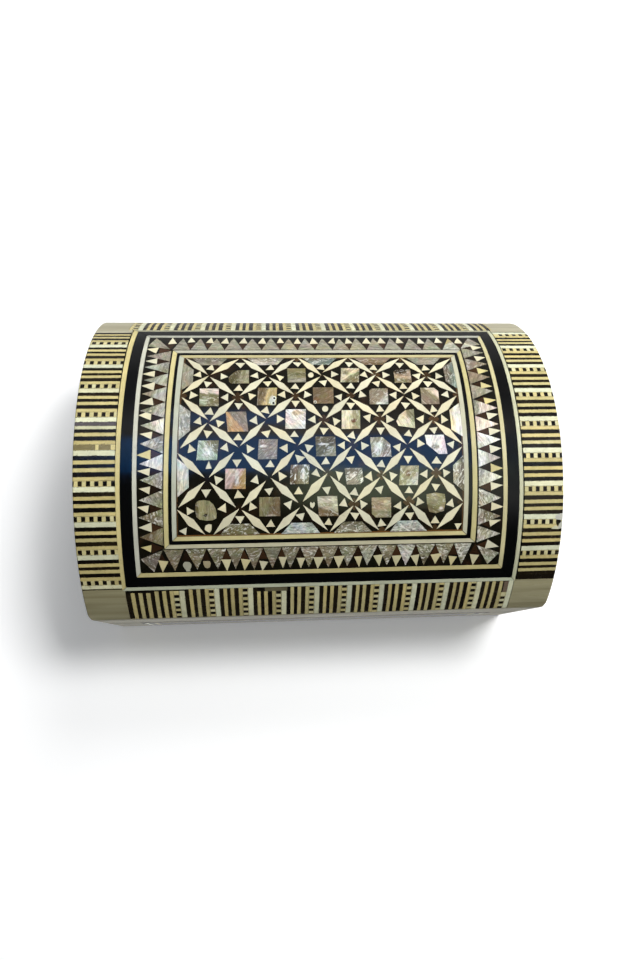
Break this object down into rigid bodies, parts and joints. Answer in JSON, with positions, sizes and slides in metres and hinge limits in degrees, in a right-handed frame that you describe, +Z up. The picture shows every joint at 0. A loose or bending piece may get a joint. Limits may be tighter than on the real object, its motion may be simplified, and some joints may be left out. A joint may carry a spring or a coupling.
{
  "type": "shell-inlaid box",
  "caption": "Hollow wooden box with a lift-off barrel lid, inlaid all over the lid with mother-of-pearl tiles, bone stars and lines, a tooth border and striped marquetry bands.",
  "frame": {"origin": "middle of the underside", "axes": "+Z up, +X along the box's length, front towards -Y"},
  "size_m": [0.16, 0.112, 0.0785],
  "materials": {
    "carcass_wood": "dark lacquered wood, plain and satin inside",
    "marquetry": "striped cream, yellow and black sticks under gloss lacquer",
    "corner_wood": "plain khaki wood, satin lacquer",
    "bone": "polished cream bone under gloss lacquer",
    "panel_frame_bone": "polished cream and yellow bone under gloss lacquer",
    "black_wood": "black, gloss lacquer",
    "dark_ground": "black filler with red-brown places, gloss lacquer",
    "pearl": "grey mother-of-pearl with silver, pink, green and gold shimmer, gloss"
  },
  "bodies": {
    "root": {"band_back": "marquetry", "band_front": "marquetry", "band_left": "marquetry", "band_right": "marquetry", "black_band": "black_wood", "box_body": "carcass_wood", "corner_block_back_left": "corner_wood", "corner_block_back_right": "corner_wood", "corner_block_front_left": "corner_wood", "corner_block_front_right": "corner_wood", "inner_bone_line": "bone", "lid": "carcass_wood", "outer_bone_line": "bone", "panel_frame_black_line": "black_wood", "panel_frame_inner_line": "panel_frame_bone", "panel_frame_outer_line": "panel_frame_bone", "panel_ground": "dark_ground", "pearl_edge_back_1": "pearl", "pearl_edge_back_2": "pearl", "pearl_edge_back_3": "pearl", "pearl_edge_back_4": "pearl", "pearl_edge_back_5": "pearl", "pearl_edge_front_1": "pearl", "pearl_edge_front_2": "pearl", "pearl_edge_front_3": "pearl", "pearl_edge_front_4": "pearl", "pearl_edge_left_1": "pearl", "pearl_edge_left_2": "pearl", "pearl_edge_left_3": "pearl", "pearl_edge_right_1": "pearl", "pearl_edge_right_2": "pearl", "pearl_edge_right_3": "pearl", "pearl_square_row1_1": "pearl", "pearl_square_row1_2": "pearl", "pearl_square_row1_3": "pearl", "pearl_square_row1_4": "pearl", "pearl_square_row2_1": "pearl", "pearl_square_row2_2": "pearl", "pearl_square_row2_3": "pearl", "pearl_square_row2_4": "pearl", "pearl_square_row2_5": "pearl", "pearl_square_row3_1": "pearl", "pearl_square_row3_2": "pearl", "pearl_square_row3_3": "pearl", "pearl_square_row3_4": "pearl", "pearl_square_row4_1": "pearl", "pearl_square_row4_2": "pearl", "pearl_square_row4_3": "pearl", "pearl_square_row4_4": "pearl", "pearl_square_row4_5": "pearl", "pearl_square_row5_1": "pearl", "pearl_square_row5_2": "pearl", "pearl_square_row5_3": "pearl", "pearl_square_row5_4": "pearl", "pearl_square_row6_1": "pearl", "pearl_square_row6_2": "pearl", "pearl_square_row6_3": "pearl", "pearl_square_row6_4": "pearl", "pearl_square_row6_5": "pearl", "tooth_border_ground": "dark_ground"}
  },
  "joints": []
}
